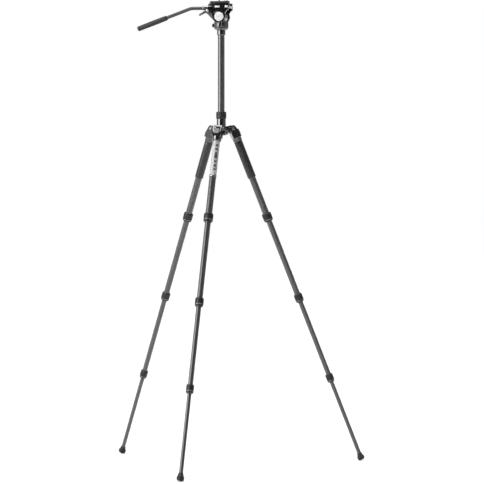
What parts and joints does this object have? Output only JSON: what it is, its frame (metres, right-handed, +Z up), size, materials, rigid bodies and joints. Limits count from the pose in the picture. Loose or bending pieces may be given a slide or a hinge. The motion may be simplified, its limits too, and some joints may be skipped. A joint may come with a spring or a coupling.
{
  "type": "camera tripod",
  "caption": "Folding camera tripod with carbon twist-lock legs, a raised centre column and a small pan and tilt head with a long handle.",
  "frame": {"origin": "on the floor, at the middle of the box round the whole tripod; the column's axis stands 136.3 mm from it along +Y", "axes": "+Z up along the column, +X the way the head's camera looks, with the pan handle towards -X and one leg along -Y"},
  "size_m": [0.972, 0.8454, 1.7237],
  "materials": {
    "carbon_tube": "carbon fibre weave under a clear satin coat",
    "black_casting": "cast alloy, glossy black paint",
    "lock_rubber": "ribbed black rubber over an alloy collar",
    "grip_foam": "closed-cell foam",
    "label_film": "silver printed film with plain stripes",
    "foot_rubber": "matt black rubber",
    "grey_tab": "satin grey paint, grooved",
    "steel_hardware": "turned steel",
    "bearing_plastic": "black acetal",
    "knob_plastic": "moulded black plastic",
    "silver_disc": "fine turned and satin anodised",
    "grey_lever": "satin grey paint",
    "bar_paint": "satin dark grey anodising",
    "grip_rubber": "soft black rubber with a fine grain",
    "pad_rubber": "black rubber pad, grooved"
  },
  "bodies": {
    "spider": {"spider": "black_casting", "accessory_port_insert": "steel_hardware", "leg_hinge_bolts": "steel_hardware", "column_bushing": "bearing_plastic"},
    "front_leg_stage_1": {"front_leg_shoulder": "black_casting", "front_leg_tube_1": "carbon_tube", "front_leg_label_band": "label_film"},
    "front_leg_stage_2": {"front_leg_tube_2": "carbon_tube"},
    "front_leg_stage_3": {"front_leg_tube_3": "carbon_tube"},
    "front_leg_stage_4": {"front_leg_tube_4": "carbon_tube", "front_leg_foot": "foot_rubber"},
    "front_leg_angle_tab": {"front_leg_angle_tab": "grey_tab"},
    "front_leg_lock_1": {"front_leg_lock_1": "lock_rubber"},
    "front_leg_lock_2": {"front_leg_lock_2": "lock_rubber"},
    "front_leg_lock_3": {"front_leg_lock_3": "lock_rubber"},
    "right_leg_stage_1": {"right_leg_shoulder": "black_casting", "right_leg_tube_1": "carbon_tube", "right_leg_foam_grip": "grip_foam"},
    "right_leg_stage_2": {"right_leg_tube_2": "carbon_tube"},
    "right_leg_stage_3": {"right_leg_tube_3": "carbon_tube"},
    "right_leg_stage_4": {"right_leg_tube_4": "carbon_tube", "right_leg_foot": "foot_rubber"},
    "right_leg_angle_tab": {"right_leg_angle_tab": "grey_tab"},
    "right_leg_lock_1": {"right_leg_lock_1": "lock_rubber"},
    "right_leg_lock_2": {"right_leg_lock_2": "lock_rubber"},
    "right_leg_lock_3": {"right_leg_lock_3": "lock_rubber"},
    "left_leg_stage_1": {"left_leg_shoulder": "black_casting", "left_leg_tube_1": "carbon_tube", "left_leg_foam_grip": "grip_foam"},
    "left_leg_stage_2": {"left_leg_tube_2": "carbon_tube"},
    "left_leg_stage_3": {"left_leg_tube_3": "carbon_tube"},
    "left_leg_stage_4": {"left_leg_tube_4": "carbon_tube", "left_leg_foot": "foot_rubber"},
    "left_leg_angle_tab": {"left_leg_angle_tab": "grey_tab"},
    "left_leg_lock_1": {"left_leg_lock_1": "lock_rubber"},
    "left_leg_lock_2": {"left_leg_lock_2": "lock_rubber"},
    "left_leg_lock_3": {"left_leg_lock_3": "lock_rubber"},
    "column": {"column_tube": "carbon_tube", "column_end_plug": "bearing_plastic", "column_top_mount": "black_casting", "head_base": "black_casting"},
    "column_lock": {"column_lock_ring": "lock_rubber"},
    "pan": {"pan_housing": "black_casting", "friction_discs": "bearing_plastic", "tilt_shaft": "steel_hardware"},
    "pan_lock": {"pan_lock_knob": "knob_plastic"},
    "tilt": {"tilt_cradle": "black_casting", "tilt_cover_disc": "silver_disc"},
    "tilt_lock": {"tilt_lock_knob": "knob_plastic"},
    "plate": {"quick_release_plate": "black_casting", "plate_pad": "pad_rubber", "video_pin": "steel_hardware"},
    "plate_lock": {"plate_lock_knob": "knob_plastic"},
    "camera_screw": {"camera_screw": "steel_hardware"},
    "handle": {"handle_clamp": "black_casting", "handle_bar": "bar_paint", "handle_grip": "grip_rubber", "handle_end_cap": "grip_rubber"},
    "clamp_lever": {"clamp_lever": "grey_lever", "clamp_bolt": "steel_hardware"}
  },
  "joints": [
    {"name": "front_leg_hinge", "type": "hinge", "parent": "spider", "child": "front_leg_stage_1", "pos_m": [0, 0.0953, 1.24772], "axis": [-1, 0, 0], "range_deg": [-22, 58]},
    {"name": "right_leg_hinge", "type": "hinge", "parent": "spider", "child": "right_leg_stage_1", "pos_m": [0.03551, 0.1568, 1.24772], "axis": [0.5, -0.866, 0], "range_deg": [-22, 58]},
    {"name": "left_leg_hinge", "type": "hinge", "parent": "spider", "child": "left_leg_stage_1", "pos_m": [-0.03551, 0.1568, 1.24772], "axis": [0.5, 0.866, 0], "range_deg": [-22, 58]},
    {"name": "column_slide", "type": "slide", "parent": "spider", "child": "column", "axis": [0, 0, 1], "range_m": [-0.277, 0]},
    {"name": "head_pan", "type": "hinge", "parent": "column", "child": "pan", "pos_m": [0, 0.1363, 1.62112], "axis": [0, 0, 1], "continuous": true},
    {"name": "head_tilt", "type": "hinge", "parent": "pan", "child": "tilt", "pos_m": [0, 0.1363, 1.66072], "axis": [0, 1, 0], "range_deg": [-60, 90]},
    {"name": "handle_angle", "type": "hinge", "parent": "tilt", "child": "handle", "pos_m": [-0.038, 0.0989, 1.68122], "axis": [0, 1, 0], "range_deg": [-90, 90]},
    {"name": "clamp_lever_turn", "type": "hinge", "parent": "tilt", "child": "clamp_lever", "pos_m": [-0.038, 0.088, 1.68122], "axis": [0, 1, 0], "range_deg": [-30, 120]},
    {"name": "plate_slide", "type": "slide", "parent": "tilt", "child": "plate", "axis": [1, 0, 0], "range_m": [-0.012, 0.012]},
    {"name": "camera_screw_turn", "type": "hinge", "parent": "plate", "child": "camera_screw", "pos_m": [-0.008, 0.1363, 1.71822], "axis": [0, 0, 1], "continuous": true},
    {"name": "column_lock_turn", "type": "hinge", "parent": "spider", "child": "column_lock", "pos_m": [0, 0.1363, 1.28322], "axis": [0, 0, 1], "range_deg": [0, 120]},
    {"name": "pan_lock_turn", "type": "hinge", "parent": "pan", "child": "pan_lock", "pos_m": [-0.027, 0.1363, 1.62967], "axis": [-1, 0, 0], "range_deg": [0, 270]},
    {"name": "tilt_lock_turn", "type": "hinge", "parent": "pan", "child": "tilt_lock", "pos_m": [0, 0.1707, 1.66072], "axis": [0, 1, 0], "range_deg": [0, 270]},
    {"name": "plate_lock_turn", "type": "hinge", "parent": "tilt", "child": "plate_lock", "pos_m": [-0.005, 0.1707, 1.70622], "axis": [0, 1, 0], "range_deg": [0, 270]},
    {"name": "front_leg_section_2", "type": "slide", "parent": "front_leg_stage_1", "child": "front_leg_stage_2", "axis": [0, 0.3746, 0.9272], "range_m": [0, 0.2845]},
    {"name": "front_leg_section_3", "type": "slide", "parent": "front_leg_stage_2", "child": "front_leg_stage_3", "axis": [0, 0.3746, 0.9272], "range_m": [0, 0.2845]},
    {"name": "front_leg_section_4", "type": "slide", "parent": "front_leg_stage_3", "child": "front_leg_stage_4", "axis": [0, 0.3746, 0.9272], "range_m": [0, 0.2845]},
    {"name": "right_leg_section_2", "type": "slide", "parent": "right_leg_stage_1", "child": "right_leg_stage_2", "axis": [-0.3244, -0.1873, 0.9272], "range_m": [0, 0.2845]},
    {"name": "right_leg_section_3", "type": "slide", "parent": "right_leg_stage_2", "child": "right_leg_stage_3", "axis": [-0.3244, -0.1873, 0.9272], "range_m": [0, 0.2845]},
    {"name": "right_leg_section_4", "type": "slide", "parent": "right_leg_stage_3", "child": "right_leg_stage_4", "axis": [-0.3244, -0.1873, 0.9272], "range_m": [0, 0.2845]},
    {"name": "left_leg_section_2", "type": "slide", "parent": "left_leg_stage_1", "child": "left_leg_stage_2", "axis": [0.3244, -0.1873, 0.9272], "range_m": [0, 0.2845]},
    {"name": "left_leg_section_3", "type": "slide", "parent": "left_leg_stage_2", "child": "left_leg_stage_3", "axis": [0.3244, -0.1873, 0.9272], "range_m": [0, 0.2845]},
    {"name": "left_leg_section_4", "type": "slide", "parent": "left_leg_stage_3", "child": "left_leg_stage_4", "axis": [0.3244, -0.1873, 0.9272], "range_m": [0, 0.2845]},
    {"name": "front_leg_angle_tab_pull", "type": "slide", "parent": "front_leg_stage_1", "child": "front_leg_angle_tab", "axis": [0, -0.9272, 0.3746], "range_m": [0, 0.004], "stiffness_N_per_m": 400},
    {"name": "right_leg_angle_tab_pull", "type": "slide", "parent": "right_leg_stage_1", "child": "right_leg_angle_tab", "axis": [0.803, 0.4636, 0.3746], "range_m": [0, 0.004], "stiffness_N_per_m": 400},
    {"name": "left_leg_angle_tab_pull", "type": "slide", "parent": "left_leg_stage_1", "child": "left_leg_angle_tab", "axis": [-0.803, 0.4636, 0.3746], "range_m": [0, 0.004], "stiffness_N_per_m": 400},
    {"name": "front_leg_lock_1_turn", "type": "hinge", "parent": "front_leg_stage_1", "child": "front_leg_lock_1", "pos_m": [0, -0.04196, 0.91868], "axis": [0, -0.3746, -0.9272], "range_deg": [0, 120]},
    {"name": "right_leg_lock_1_turn", "type": "hinge", "parent": "right_leg_stage_1", "child": "right_leg_lock_1", "pos_m": [0.15437, 0.22542, 0.91868], "axis": [0.3244, 0.1873, -0.9272], "range_deg": [0, 120]},
    {"name": "left_leg_lock_1_turn", "type": "hinge", "parent": "left_leg_stage_1", "child": "left_leg_lock_1", "pos_m": [-0.15437, 0.22542, 0.91868], "axis": [-0.3244, 0.1873, -0.9272], "range_deg": [0, 120]},
    {"name": "front_leg_lock_2_turn", "type": "hinge", "parent": "front_leg_stage_2", "child": "front_leg_lock_2", "pos_m": [0, -0.16408, 0.61642], "axis": [0, -0.3746, -0.9272], "range_deg": [0, 120]},
    {"name": "right_leg_lock_2_turn", "type": "hinge", "parent": "right_leg_stage_2", "child": "right_leg_lock_2", "pos_m": [0.26014, 0.28648, 0.61642], "axis": [0.3244, 0.1873, -0.9272], "range_deg": [0, 120]},
    {"name": "left_leg_lock_2_turn", "type": "hinge", "parent": "left_leg_stage_2", "child": "left_leg_lock_2", "pos_m": [-0.26014, 0.28648, 0.61642], "axis": [-0.3244, 0.1873, -0.9272], "range_deg": [0, 120]},
    {"name": "front_leg_lock_3_turn", "type": "hinge", "parent": "front_leg_stage_3", "child": "front_leg_lock_3", "pos_m": [0, -0.2862, 0.31416], "axis": [0, -0.3746, -0.9272], "range_deg": [0, 120]},
    {"name": "right_leg_lock_3_turn", "type": "hinge", "parent": "right_leg_stage_3", "child": "right_leg_lock_3", "pos_m": [0.3659, 0.34754, 0.31416], "axis": [0.3244, 0.1873, -0.9272], "range_deg": [0, 120]},
    {"name": "left_leg_lock_3_turn", "type": "hinge", "parent": "left_leg_stage_3", "child": "left_leg_lock_3", "pos_m": [-0.3659, 0.34754, 0.31416], "axis": [-0.3244, 0.1873, -0.9272], "range_deg": [0, 120]}
  ]
}
